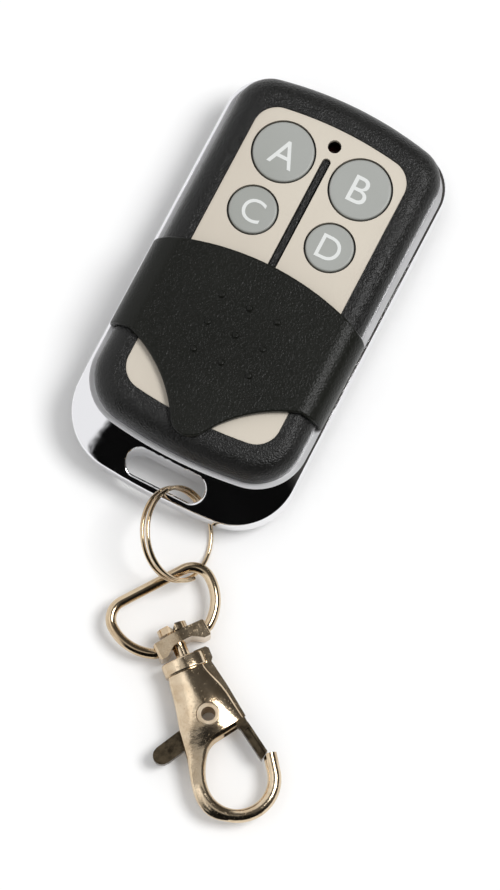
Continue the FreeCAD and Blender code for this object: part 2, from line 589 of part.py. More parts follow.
# Sliding cover: a C-shaped section that wraps the upper shell, cut to its plan outline, with thumb bumps
def slide_cover():
    body = new_body("slide_cover")
    section = new_sketch(body, "cover_section", "XZ_Plane", offset="-cover_top_middle - 1")
    outer = value("cover_outer")
    inner = value("cover_inner")
    top = value("cover_top")
    under = value("cover_under")
    low = value("cover_low")
    ledge = value("hook_top")
    grip = inner - value("hook_depth")
    turn_in = value("upper_edge_round + cover_side_gap")
    turn_out = turn_in + value("cover_side_wall")
    half_turn = math.sqrt(0.5)

    def half_section(side):
        """The cover's wall from the middle of its roof down one side and round its hook."""
        edge = []
        shoulder = Vector(side * (outer - turn_out), top)
        edge.append(Part.LineSegment(Vector(0, top), shoulder))
        bend = Vector(side * (outer - turn_out * (1 - half_turn)), top - turn_out * (1 - half_turn))
        edge.append(Part.Arc(shoulder, bend, Vector(side * outer, top - turn_out)))
        corners = [Vector(side * outer, top - turn_out), Vector(side * outer, low),
                   Vector(side * grip, low), Vector(side * grip, ledge),
                   Vector(side * inner, ledge), Vector(side * inner, under - turn_in)]
        edge.extend(Part.LineSegment(corners[i], corners[i + 1]) for i in range(5))
        bend = Vector(side * (inner - turn_in * (1 - half_turn)), under - turn_in * (1 - half_turn))
        shoulder = Vector(side * (inner - turn_in), under)
        edge.append(Part.Arc(Vector(side * inner, under - turn_in), bend, shoulder))
        edge.append(Part.LineSegment(shoulder, Vector(0, under)))
        return edge

    for side in (1, -1):
        section.addGeometry(half_section(side), False)
    pad(body, section, "cover_top_middle + cover_tip + 2")
    trim = new_sketch(body, "cover_trim", offset="cover_top + 1")
    reach = value("cover_outer") + 2
    far_top = value("cover_top_middle") + 3
    far_low = -value("cover_tip") - 4
    frame = [Vector(-reach, far_low), Vector(reach, far_low), Vector(reach, far_top), Vector(-reach, far_top)]
    trim.addGeometry([Part.LineSegment(frame[i], frame[(i + 1) % 4]) for i in range(4)], False)
    trim.addGeometry(cover_outline(), False)
    trimmed = pocket(body, trim, "cover_top + 1 - cover_low + 1")

    def on_skin(point):
        x = abs(point.x)
        if x <= outer - turn_out + 1e-4:
            return abs(point.z - top) < 1e-4
        drop = Vector(x - outer + turn_out, point.z - top + turn_out)
        return abs(drop.Length - turn_out) < 1e-4 if drop.y > 0 else abs(x - outer) < 1e-4

    def crosses_skin(edge):
        middle = edge.valueAt((edge.FirstParameter + edge.LastParameter) / 2)
        along = edge.BoundBox.XLength < 0.01 and edge.BoundBox.ZLength < 0.01
        return not along and on_skin(middle) and all(on_skin(v.Point) for v in edge.Vertexes)

    round_edges(body, trimmed, crosses_skin, "cover_edge_round")
    corners = new_sketch(body, "cover_corners", "YZ_Plane", offset="-cover_outer - 1")
    size = value("cover_corner")
    lean = size * (1 - half_turn)
    for end, way in ((value("cover_top_side"), -1), (-value("cover_side_low"), 1)):
        inner_foot = Vector(end + way * size, low)
        outer_head = Vector(end, low + size)
        line = [inner_foot, inner_foot - Vector(0, size), Vector(end - way * size, low - size),
                Vector(end - way * size, low + size), outer_head]
        corners.addGeometry([Part.LineSegment(line[i], line[i + 1]) for i in range(4)], False)
        corners.addGeometry(Part.Arc(outer_head, Vector(end + way * lean, low + lean), inner_foot), False)
    pocket(body, corners, "2*cover_outer + 2", upward=True)
    bumps = new_sketch(body, "cover_bumps", offset="cover_top - 0.1")
    for column in (-1, 0, 1):
        for line in (-1, 0, 1):
            x, y = f"{column}*bump_pitch + bump_shift", f"{line}*bump_pitch - bump_middle"
            draw_circle(bumps, x, y, "bump_round")
    raised = pad(body, bumps, "bump_height + 0.1")
    round_edges(body, raised, level_edge(value("cover_top + bump_height")), "bump_height*0.8")


def cover_outline():
    """Plan of the cover: crowned top edge, level sides, hollow flanks and a round tongue tip."""
    outer = value("cover_outer") + 0.5
    side_top = value("cover_top_side")
    middle_top = value("cover_top_middle")
    side_low = -value("cover_side_low")
    start = Vector(value("cover_flank_start"), -value("cover_flank_height"))
    tip_round = value("cover_tip_round")
    tip_centre = Vector(0, -value("cover_tip") + tip_round)
    flank = value("cover_flank_round")
    # centre of the flank's arc: outside the tongue, touching the tip's circle, through the flank's start
    span = start - tip_centre
    gap = span.Length
    reach = flank + tip_round
    along = (reach ** 2 - flank ** 2 + gap ** 2) / (2 * gap)
    aside = math.sqrt(reach ** 2 - along ** 2)
    unit = Vector(span.x / gap, span.y / gap)
    centre = tip_centre + unit * along + Vector(unit.y, -unit.x) * aside
    meet = tip_centre + (centre - tip_centre) * (tip_round / reach)
    mid_turn = (start - centre) + (meet - centre)
    middle = centre + mid_turn * (flank / mid_turn.Length)

    def flip(point):
        return Vector(-point.x, point.y)

    top_left = Vector(-outer, side_top)
    top_right = Vector(outer, side_top)
    low_right = Vector(outer, side_low)
    return [
        Part.Arc(top_right, Vector(0, middle_top), top_left),
        Part.LineSegment(top_left, flip(low_right)),
        Part.LineSegment(flip(low_right), flip(start)),
        Part.Arc(flip(start), flip(middle), flip(meet)),
        Part.Arc(flip(meet), Vector(0, -value("cover_tip")), meet),
        Part.Arc(meet, middle, start),
        Part.LineSegment(start, low_right),
        Part.LineSegment(low_right, top_right),
    ]


# Keys: round caps with a flange that the roof holds in
def key_caps():
    for name, (x, y, hole) in keys.items():
        body = new_body("key_" + name)
        flange = new_sketch(body, f"key_{name}_flange", offset="flange_low")
        draw_circle(flange, x, y, f"{hole} + key_flange")
        pad(body, flange, "key_flange_thick")
        stem = new_sketch(body, f"key_{name}_stem", offset="flange_low")
        draw_circle(stem, x, y, f"{hole} - key_gap")
        raised = pad(body, stem, "plate_top + key_proud - flange_low")
        round_edges(body, raised, level_edge(value("plate_top + key_proud")), "key_edge_round")


# Circuit board with the battery's window, and the corners cut back for the screw bosses
def circuit_board():
    body = new_body("circuit_board")
    outer = new_sketch(body, "board_outer", offset="board_low")
    draw_box(outer, "-board_half", "-board_low_end", "board_half", "board_top_end")
    pad(body, outer, "board_thick")
    openings = new_sketch(body, "board_openings", offset="board_top")
    draw_box(openings, "-window_half", "-board_low_end - 1", "window_half", "window_top")
    for side in (1, -1):
        low_x, high_x = ("board_half - corner_cut", "board_half + 1")
        if side < 0:
            low_x, high_x = f"-({high_x})", f"-({low_x})"
        draw_box(openings, low_x, "board_top_end - corner_cut", high_x, "board_top_end + 1")
    pocket(body, openings, "board_thick")


# Switches: a square case with a round plunger that its key presses
def switches():
    for name, (x, y, hole) in keys.items():
        case = block(f"case_{name}", f"{x} - switch_side/2", f"{y} - switch_side/2", "board_top",
                     "switch_side", "switch_side", "switch_height")
        well = rod(f"well_{name}", x, y, "switch_top - plunger_well", "plunger_round + plunger_gap",
                   "plunger_well")
        finished("switch_" + name, cut(f"switch_case_{name}", case, well))
        foot = "switch_top - plunger_well + key_travel + 0.1"
        stem = rod(f"stem_{name}", x, y, foot, "plunger_round", f"flange_low - ({foot})")
        finished("plunger_" + name, stem)


# Small parts on the board
def board_parts():
    dome = primitive("Sphere", "light_dome", Radius="light_round", Placement__Base__y="light_row",
                     Placement__Base__z="board_top + light_height - light_round")
    barrel = rod("light_barrel", "0", "light_row", "board_top + 1", "light_round",
                 "light_height - light_round - 1")
    legs = [rod(f"light_leg_{i}", f"{side}light_leg_pitch", "light_row", "board_top", "light_leg", "1.2")
            for i, side in enumerate(("", "-"))]
    finished("indicator_light", join("light_whole", dome, barrel, *legs))
    chip = block("chip_case", "chip_column - chip_wide/2", "-chip_row - chip_long/2", "board_top",
                 "chip_wide", "chip_long", "chip_high")
    feet = []
    for side in (1, -1):
        for i in range(7):
            edge = "chip_column + chip_wide/2" if side > 0 else "chip_column - chip_wide/2 - 1"
            feet.append(block(f"chip_foot_{(side + 1) // 2}_{i}", edge,
                              f"-chip_row + ({i} - 3)*1.27 - 0.2", "board_top", "1", "0.4", "0.4"))
    finished("encoder_chip", join("chip_whole", chip, *feet))
    can = block("saw_case", "-chip_column - saw_side/2", "-saw_row - saw_side/2", "board_top",
                "saw_side", "saw_side", "saw_high")
    finished("radio_resonator", can)
    case = block("transistor_case", "-chip_column - transistor_wide/2", "transistor_row - transistor_long/2",
                 "board_top", "transistor_wide", "transistor_long", "transistor_high")
    finished("radio_transistor", case)
    cup = rod("trimmer_cup", "-chip_column", "-trimmer_row", "board_top", "trimmer_round", "trimmer_high")
    groove = block("trimmer_groove", "-chip_column - trimmer_round - 1", "-trimmer_row - 0.25",
                   "board_top + trimmer_high - 0.5", "2*trimmer_round + 2", "0.5", "1")
    finished("tuning_capacitor", cut("trimmer_whole", cup, groove))
    chips = []
    left, middle = "-board_half + small_inset", "-small_long/2"
    right = "board_half - small_inset - small_long"
    places = [(left, "small_row"), (left, "small_row - small_step"), (right, "small_row - small_step")]
    places += [(middle, f"key_row_middle + ({step})*small_pitch") for step in (-0.5, 0.5, 1.5)]
    for i, (x, y) in enumerate(places):
        chips.append(block(f"small_chip_{i}", x, f"{y} - small_wide/2", "board_top", "small_long",
                           "small_wide", "small_high"))
    group = doc.addObject("Part::Compound", "small_chips")
    group.Links = chips
    finished("chip_resistors", group)


# Battery along the remote, lying in the board's window, with a leaf at each end
def battery_and_contacts():
    lay = Placement(Vector(0, 0, 0), Rotation(Vector(1, 0, 0), 90))
    cell = primitive("Cylinder", "cell_can", lay, Radius="cell_round", Height="cell_long - cell_nub",
                     Placement__Base__y="cell_top_end - cell_nub", Placement__Base__z="cell_height")
    nub = primitive("Cylinder", "cell_cap", lay, Radius="cell_nub_round", Height="cell_nub + 1",
                    Placement__Base__y="cell_top_end", Placement__Base__z="cell_height")
    finished("battery", join("cell_whole", cell, nub))
    upright = block("plus_leaf", "-contact_half", "cell_top_end", "board_top - contact_tall/2",
                    "2*contact_half", "contact_thick", "contact_tall")
    foot = block("plus_foot", "-contact_half", "cell_top_end", "board_top",
                 "2*contact_half", "window_top - cell_top_end + contact_foot", "contact_thick")
    finished("contact_plus", join("plus_whole", upright, foot))
    strip = block("minus_leaf", "-window_half - 2", "-cell_low_end - contact_thick",
                  "board_top - contact_tall/2", "2*window_half + 4", "contact_thick",
                  "contact_tall/2 + contact_thick")
    arms = [block(f"minus_arm_{i}", x, "-cell_low_end - contact_thick", "board_top", "1.5",
                  "cell_low_end + contact_thick - board_low_end + contact_foot", "contact_thick")
            for i, x in enumerate(("window_half + 0.5", "-window_half - 2"))]
    finished("contact_minus", join("minus_whole", strip, *arms))


# Case screws: four alike, with a crossed drive
def case_screws():
    screws = []
    for i, (x, y) in enumerate(screw_places):
        head = rod(f"screw_head_{i}", x, y, "0", "screw_head_round", "screw_head")
        shank = rod(f"screw_shank_{i}", x, y, "0", "screw_round", "screw_long")
        whole = join(f"screw_blank_{i}", head, shank)
        slots = [block(f"drive_wide_{i}", f"{x} - drive_long/2", f"{y} - drive_wide/2", "-0.1",
                       "drive_long", "drive_wide", "drive_deep + 0.1"),
                 block(f"drive_tall_{i}", f"{x} - drive_wide/2", f"{y} - drive_long/2", "-0.1",
                       "drive_wide", "drive_long", "drive_deep + 0.1")]
        screws.append(cut(f"screw_{i}", whole, join(f"drive_{i}", *slots)))
    group = doc.addObject("Part::Compound", "screw_set")
    group.Links = screws
    finished("case_screws", group)


# Wire forms
def arc_through(start, tangent, end):
    """The arc that leaves start along tangent and reaches end."""
    chord = end - start
    across = chord - tangent * chord.dot(tangent)
    turn = math.atan2(across.Length, chord.dot(tangent))
    if turn < 1e-6:
        return Part.LineSegment(start, end)
    middle = (start + end) * 0.5
    sagitta = chord.Length / 2 * math.tan(turn / 2)
    outward = (tangent - chord * (tangent.dot(chord) / chord.Length ** 2)).normalize()
    return Part.Arc(start, middle + outward * sagitta, end)


def biarc(start, tangent, end, end_tangent):
    """Two arcs that leave start along tangent and reach end along end_tangent."""
    span = end - start
    both = tangent + end_tangent
    a = 2 * (1 - tangent.dot(end_tangent))
    b = span.dot(both)
    reach = (-b + math.sqrt(b * b + a * span.dot(span))) / a
    join_point = (start + tangent * reach + end - end_tangent * reach) * 0.5
    first = arc_through(start, tangent, join_point)
    second = arc_through(end, end_tangent * -1, join_point)
    return [first.toShape(), second.toShape()]


def wire_form(edges, radius):
    path = Part.Wire(edges)
    first = path.OrderedEdges[0]
    start = path.OrderedVertexes[0].Point
    heading = first.tangentAt(first.FirstParameter)
    if (first.valueAt(first.FirstParameter) - start).Length > 1e-6:
        heading = first.tangentAt(first.LastParameter) * -1
    ring = Part.Wire(Part.makeCircle(radius, start, heading))
    return path.makePipeShell([ring], True, False)


# Split ring: two turns of round wire in one unbroken tube
def split_ring():
    radius = value("ring_round")
    pitch = value("ring_pitch")
    wire = value("ring_wire")
    quarters = round(4 * value("ring_turns"))
    turns = quarters / 4
    rise = pitch / (2 * math.pi)
    length = math.hypot(radius, rise)

    def place(turn):
        return Vector(radius * math.cos(turn), radius * math.sin(turn), rise * (turn - math.pi * turns))

    def heading(turn):
        return Vector(-radius * math.sin(turn), radius * math.cos(turn), rise) * (1 / length)

    edges = []
    for quarter in range(quarters):
        begin = quarter * math.pi / 2
        end = begin + math.pi / 2
        edges.extend(biarc(place(begin), heading(begin), place(end), heading(end)))
    start_turn = Rotation(Vector(0, 0, 1), value("ring_start"))
    lean_x = value("ring_lean_x")
    lean_y = value("ring_lean_y")
    lean_z = math.sqrt(1 - lean_x ** 2 - lean_y ** 2)
    tilt = Rotation(Vector(0, 0, 1), Vector(lean_x, lean_y, lean_z))
    centre = Vector(value("ring_x"), -value("ring_y"), value("ring_z"))
    from_shape("split_ring", wire_form(edges, wire), Placement(centre, tilt.multiply(start_turn)))
    samples = [place(math.pi / 2 * i / 60) for i in range(60 * quarters + 1)]
    gap = min((samples[i] - samples[j]).Length for i in range(0, len(samples), 4)
              for j in range(i + 180, len(samples))) - 2 * wire
    print(f"split ring: least gap between turns {gap:.3f} mm")


bow_place = Placement(Vector(value("link_x"), -value("link_y"), value("link_height")),
                      Rotation(Vector(0, 0, 1), value("bow_turn")))
clasp_turn = Rotation(Vector(0, 0, 1), value("clasp_turn"))
clasp_place = Placement(bow_place.Base + clasp_turn.multVec(Vector(-value("clasp_shift"), 0, 0)), clasp_turn)


# Bow: the bent wire loop that hangs on the split ring; its in-turned ends are the yoke's hinge
def clasp_bow():
    depth = value("bow_depth")
    bar = value("bow_bar_half")
    corner = value("bow_corner")
    side = value("bow_side")
    end_turn = value("bow_end_turn")
    inner = value("bow_end_inner")
    corner_y = depth - corner
    side_x = bar + corner - side
    # the side arc meets the in-turned end through a small arc that ends level on the hinge line
    reach = side - end_turn
    turn_y = end_turn
    turn_x = side_x + math.sqrt(reach ** 2 - (corner_y - turn_y) ** 2)
    meet = Vector(side_x, corner_y) + (Vector(turn_x, turn_y) - Vector(side_x, corner_y)) * (side / reach)

    def polar(cx, cy, radius, degrees):
        turn = math.radians(degrees)
        return Vector(cx + radius * math.cos(turn), cy + radius * math.sin(turn))

    fall = math.degrees(math.atan2(meet.y - corner_y, meet.x - side_x))
    right = [
        Part.LineSegment(Vector(0, depth), Vector(bar, depth)),
        Part.Arc(Vector(bar, depth), polar(bar, corner_y, corner, 45), Vector(bar + corner, corner_y)),
        Part.Arc(Vector(bar + corner, corner_y), polar(side_x, corner_y, side, fall / 2), meet),
        Part.Arc(meet, polar(turn_x, turn_y, end_turn, (fall - 90) / 2), Vector(turn_x, 0)),
        Part.LineSegment(Vector(turn_x, 0), Vector(inner, 0)),
    ]
    edges = [piece.toShape() for piece in right]
    mirrored = [edge.mirror(Vector(0, 0, 0), Vector(1, 0, 0)) for edge in edges]
    ordered = list(reversed(mirrored)) + edges
    from_shape("clasp_bow", wire_form(ordered, value("bow_wire")), bow_place)


# Yoke: the arched block that the bow's ends and the swivel post go through
def swivel_yoke():
    body = new_body("swivel_yoke", bow_place)
    plan = new_sketch(body, "yoke_plan", offset="-yoke_tall")
    half = "yoke_half"
    corners = [(f"-{half}", "-yoke_end_low"), (f"-{half}*0.72", "-yoke_end_low"),
               (f"-{half}*0.35", "-yoke_arch"), (f"{half}*0.35", "-yoke_arch"),
               (f"{half}*0.72", "-yoke_end_low"), (half, "-yoke_end_low"),
               (half, "yoke_end_top"), (f"{half}*0.4", "yoke_top"), (f"-{half}*0.4", "yoke_top"),
               (f"-{half}", "yoke_end_top")]
    draw_polygon(plan, corners)
    slab_form = pad(body, plan, "2*yoke_tall")
    for face in ("", "-"):
        gable = new_sketch(body, "yoke_gable" + ("_back" if face else ""), "XZ_Plane", offset="-yoke_half")
        draw_polygon(gable, [("0", f"{face}yoke_tall"), ("yoke_half + 1", f"{face}yoke_end_tall"),
                             ("yoke_half + 1", f"{face}yoke_tall*2"),
                             ("-yoke_half - 1", f"{face}yoke_tall*2"),
                             ("-yoke_half - 1", f"{face}yoke_end_tall")])
        slab_form = pocket(body, gable, "2*yoke_half", upward=True)
    ends = value("yoke_half")
    round_edges(body, slab_form, lambda edge: all(abs(abs(v.X) - ends) < 1e-4 for v in edge.Vertexes),
                "yoke_edge")
    bores = new_sketch(body, "yoke_bores", "YZ_Plane", offset="-yoke_half - 1")
    draw_circle(bores, "0", "0", "bow_wire + yoke_bore_gap")
    pocket(body, bores, "yoke_half + 1 - bow_end_inner + 0.15", upward=True)
    bores = new_sketch(body, "yoke_bores_far", "YZ_Plane", offset="bow_end_inner - 0.15")
    draw_circle(bores, "0", "0", "bow_wire + yoke_bore_gap")
    pocket(body, bores, "yoke_half + 1", upward=True)
    for name, upward in (("near", True), ("far", False)):
        hole = new_sketch(body, "yoke_hole_" + name, "XZ_Plane")
        bind(hole, AttachmentOffset__Rotation__Angle="clasp_turn - bow_turn")
        hole.AttachmentOffset.Rotation.Axis = Vector(0, 1, 0)
        draw_circle(hole, "-clasp_shift", "0", "post_wire + yoke_post_gap")
        pocket(body, hole, "yoke_half", upward)


# Swivel post: the rivet from the knob through the yoke into the clasp's collar
def swivel_post():
    lay = Placement(Vector(0, 0, 0), Rotation(Vector(1, 0, 0), 90))
    shank = primitive("Cylinder", "post_shank", lay, Radius="post_wire",
                      Height="knob_lift + collar_drop + collar_long",
                      Placement__Base__y="knob_lift")
    knob = primitive("Cylinder", "post_knob", lay, Radius="knob_round", Height="knob_long",
                     Placement__Base__y="knob_lift + knob_long")
    whole = join("post_blank", shank, knob)
    notch = primitive("Wedge", "post_notch", Xmin="-knob_notch", Xmax="knob_notch", X2min="-0.05",
                      X2max="0.05", Ymin="0", Ymax="knob_long*0.7",
                      Zmin="-knob_round - 1", Zmax="knob_round + 1",
                      Z2min="-knob_round - 1", Z2max="knob_round + 1",
                      Placement__Base__y="knob_lift + knob_long")
    notch.Placement.Rotation = Rotation(Vector(0, 0, 1), 180)
    post = cut("post_whole", whole, notch)
    post.Placement = clasp_place
    finished("swivel_post", post)


# Outline of the clasp's chest and limb: shares of the body's length, half width (left, right) and
# thickness (middle, sides), from the collar down to where the limb runs into the hook
body_shares = (
    (0.080, 0.686, 0.488, 0.854, 0.500),
    (0.213, 0.802, 0.700, 0.980, 0.542),
    (0.350, 0.935, 0.870, 1.020, 0.542),
    (0.469, 1.047, 0.975, 0.880, 0.460),
    (0.579, 1.116, 1.060, 0.660, 0.396),
    (0.693, 1.244, 0.900, 0.520, 0.340),
    (0.808, 1.330, 0.550, 0.430, 0.292),
    (0.913, 1.244, 0.100, 0.360, 0.229),
    (1.018, 0.720, -0.372, 0.290, 0.188),
)


def domed_section(y, left, right, middle, side, corner):
    """A section across the clasp: level sides, and a front and back that rise to the middle."""
    half = (right - left) / 2
    centre = (right + left) / 2
    rise = middle - side
    radius = (half ** 2 + rise ** 2) / (2 * rise)
    reach = half - corner
    run = math.sqrt(radius ** 2 - reach ** 2)
    height = middle - radius + run
    shoulder = height - corner * reach / run
    foot = shoulder - corner

    def at(x, z):
        return Vector(centre + x, y, z)

    def bend(*poles):
        curve = Part.BezierCurve()
        curve.setPoles([at(x, z) for x, z in poles])
        return curve

    edges = [
        Part.Arc(at(-reach, height), at(0, middle), at(reach, height)),
        bend((reach, height), (half, shoulder), (half, foot)),
        Part.LineSegment(at(half, foot), at(half, -foot)),
        bend((half, -foot), (half, -shoulder), (reach, -height)),
        Part.Arc(at(reach, -height), at(0, -middle), at(-reach, -height)),
        bend((-reach, -height), (-half, -shoulder), (-half, -foot)),
        Part.LineSegment(at(-half, -foot), at(-half, foot)),
        bend((-half, foot), (-half, shoulder), (-reach, height)),
    ]
    return Part.Wire([edge.toShape() for edge in edges])


def heading_of(degrees):
    """Down and to the left, at an angle below level."""
    turn = math.radians(degrees)
    return Vector(-math.cos(turn), -math.sin(turn))


def hook_path(inset):
    """The hook's line from the gate round the opening to its tip: a rim, two bends, a bow and a tip."""
    top = -value("collar_drop")
    level = heading_of(value("rim_fall"))
    steep = heading_of(value("bend_fall"))
    down = Vector(0, -1)

    def moved(point, heading):
        return point + Vector(-heading.y, heading.x) * inset

    rim = moved(Vector(value("rim_x"), top - value("rim_row")), level)
    rim_end = rim + level * value("rim_long")
    bend = moved(Vector(-value("bend_x"), top - value("bend_row")), steep)
    centre = Vector(value("hook_x"), top - value("hook_row"))
    radius = value("hook_round") - inset
    left = centre - Vector(radius, 0)
    low_turn = math.radians(260)
    last_turn = math.radians(350)

    def on_bow(turn):
        return centre + Vector(math.cos(turn), math.sin(turn)) * radius

    last = on_bow(last_turn)
    tip = last + Vector(-math.sin(last_turn), math.cos(last_turn)) * value("hook_tip_long")
    rim_line = [Part.LineSegment(rim, rim_end).toShape()]
    bends = biarc(rim_end, level, bend, steep) + biarc(bend, steep, left, down)
    bow = [Part.Arc(left, on_bow(low_turn), last).toShape(), Part.LineSegment(last, tip).toShape()]
    return rim_line, bends, bow, rim, tip


def opening_form():
    """The room inside the hook, open to the gate's side."""
    rim_line, bends, bow, rim, tip = hook_path(value("bead_inset"))
    far = 3 * value("chest_half")
    outer = rim - heading_of(value("rim_fall")) * far
    closing = [tip, Vector(outer.x, tip.y), outer, rim]
    edges = rim_line + bends + bow
    edges += [Part.LineSegment(closing[i], closing[i + 1]).toShape() for i in range(3)]
    tall = 3 * value("chest_tall")
    face = Part.Face(Part.Wire(Part.sortEdges(edges)[0]))
    return face.extrude(Vector(0, 0, 2 * tall)).translated(Vector(0, 0, -tall))


def bead_form(side):
    """The bead along the opening's edge, which sinks into the hook's wire."""
    rim_line, bends, bow, rim, tip = hook_path(0)
    line = Part.Wire(Part.sortEdges(rim_line + bends)[0]).discretize(Number=15)
    if (line[0] - rim).Length > 1e-3:
        line.reverse()
    points = []
    for i, point in enumerate(line):
        share = max(0, i / (len(line) - 1) - 0.35) / 0.65
        keep = (1 + math.cos(math.pi * share)) / 2
        ahead = line[min(i + 1, len(line) - 1)] - line[max(i - 1, 0)]
        inward = Vector(-ahead.y, ahead.x).normalize()
        raised = Vector(0, 0, side * value("bead_lift") * (0.2 + 0.8 * keep))
        points.append(point + inward * value("bead_inset") * (0.15 + 0.85 * keep) + raised)
    curve = Part.BSplineCurve()
    curve.interpolate(points)
    ball = Part.makeSphere(value("bead_wire"), points[0])
    return wire_form([curve.toShape()], value("bead_wire")).fuse(ball)


def gate_end():
    """Where the bar's slanted end meets the hook's tip."""
    lean = math.radians(value("gate_lean"))
    start = Vector(value("gate_column"), -value("collar_drop + gate_bar_start"))
    return start + Vector(math.sin(lean), -math.cos(lean)) * value("gate_bar_long")


def slanted_block(near, far):
    """A block round the gate's end face, from near to far along the face's outward direction."""
    wide = 2 * value("hook_wire") + value("gate_bar_half")
    tall = 3 * value("chest_tall")
    form = Part.makeBox(1.75 * wide, far - near, 2 * tall, Vector(-0.8 * wide, -far, -tall))
    form.rotate(Vector(0, 0, 0), Vector(0, 0, 1), value("gate_face"))
    form.translate(gate_end())
    return form


def back_plate():
    """Thin plate along the body's right side, with an ear beside the collar."""
    top = -value("collar_drop")
    ear = value("ear_half")
    half = value("chest_half")
    low = value("collar_long")
    rise = value("ear_rise")
    foot = top - value("rim_row")
    plan = [(ear - 2, top + rise), (ear - 0.35, top + rise), (ear, top + rise - 0.35),
            (ear, top - low * 0.75), (ear - 0.35, top - low), (half * 0.9, top - low * 3),
            (half * 1.055, foot - 0.1), (half * 1.055, foot - 1), (0, foot), (0, top - low)]
    return slab(plan, -value("plate_low"), value("plate_low + plate_high"))


# Clasp body: collar, domed chest and hook in one casting, with the gate's cavity
def clasp_body():
    top = -value("collar_drop")
    long, half, tall = value("body_long"), value("chest_half"), value("chest_tall")
    sections = []
    for row, left, right, middle, side in body_shares:
        corner = min(value("body_round"), 0.4 * side * tall)
        sections.append(domed_section(top - row * long, -left * half, right * half, middle * tall,
                                      side * tall, corner))
    chest = Part.makeLoft(sections, True, False)
    shift = value("collar_shift")
    collar_line = domed_section(top, -value("collar_half") - shift, value("collar_half") - shift,
                                value("collar_tall"), value("collar_side"), 2 * value("body_round"))
    collar = Part.Face(collar_line).extrude(Vector(0, -value("collar_long"), 0))
    rims = [edge for edge in collar.Edges if edge.BoundBox.YLength < 1e-3]
    collar = collar.makeFillet(value("collar_edge"), rims)
    body = chest.fuse(back_plate()).cut(opening_form()).fuse(collar)
    rim_line, bends, bow, rim, tip = hook_path(0)
    tip_room = slanted_block(-2 * value("hook_wire"), value("gate_gap"))
    hook = wire_form(bends + bow, value("hook_wire")).cut(tip_room)
    whole = body.multiFuse([hook, bead_form(1), bead_form(-1)]).removeSplitter()
    whole = whole.cut(gate_cavity())
    centre = Vector(0, top - value("rivet_row"), 0)
    bore_tall = 3 * tall
    whole = whole.cut(Part.makeCylinder(value("rivet_round + pilot_gap"), 2 * bore_tall,
                                        centre - Vector(0, 0, bore_tall)))
    for way in (1, -1):
        seat = centre + Vector(0, 0, way * value("rivet_seat"))
        whole = whole.cut(Part.makeCylinder(value("rivet_flange + 2*rivet_gap"), bore_tall, seat,
                                            Vector(0, 0, way)))
    whole = whole.cut(Part.makeCylinder(value("post_wire + pilot_gap"), value("collar_long") + 0.1,
                                        Vector(0, top + 0.1, 0), Vector(0, -1, 0)))
    from_shape("clasp_body", whole, clasp_place)


def slab(points, low, thick):
    """A flat plate with the given plan."""
    corners = [Vector(x, y, low) for x, y in points]
    face = Part.Face(Part.makePolygon(corners + corners[:1]))
    return face.extrude(Vector(0, 0, thick))


def gate_cavity():
    """Room in the casting for the gate at every angle of its swing, and for its spring."""
    row = -value("collar_drop + rivet_row")
    gap = value("gate_gap")
    low = -value("gate_low") - gap
    hub = Part.makeCylinder(value("gate_hub") + 2 * gap, value("gate_thick + spring_long") + 3 * gap,
                            Vector(0, row, low))
    swing = value("gate_swing") + 4
    plates = []
    for points in (lever_plan(), arm_plan()):
        for turn in (0, -swing / 3, -2 * swing / 3, -swing):
            plate = slab(grow(points, gap * 2), low, value("gate_thick") + 2 * gap)
            plate.rotate(Vector(0, row, 0), Vector(0, 0, 1), turn)
            plates.append(plate)
    return hub.multiFuse(plates)


def grow(points, margin):
    middle_x = sum(x for x, y in points) / len(points)
    middle_y = sum(y for x, y in points) / len(points)
    grown = []
    for x, y in points:
        away = Vector(x - middle_x, y - middle_y)
        away = away * ((away.Length + margin * 1.6) / away.Length)
        grown.append((middle_x + away.x, middle_y + away.y))
    return grown


def lever_plan():
    row = -value("collar_drop + rivet_row")
    tip_x = -value("lever_tip_x")
    tip_row = -value("collar_drop + lever_tip_row")
    tip = value("lever_tip_round")
    root = value("lever_root")
    return [(0.1 * root, row + root * 0.6), (tip_x - 0.3 * tip, tip_row + tip),
            (tip_x + 0.3 * tip, tip_row - tip), (-0.4 * root, row - root * 1.3)]


def arm_plan():
    row = -value("collar_drop + rivet_row")
    column = value("gate_column")
    half = value("gate_bar_half")
    hub = value("gate_hub")
    start = -value("collar_drop + gate_bar_start")
    return [(0.1 * hub, row + 0.75 * hub), (column + half - 0.3, start + 1.2 * hub),
            (column + half, start - 0.3), (column - half, start - 0.3),
            (column - 2 * half, start + 0.45 * hub), (0.1 * hub, row - 0.8 * hub)]


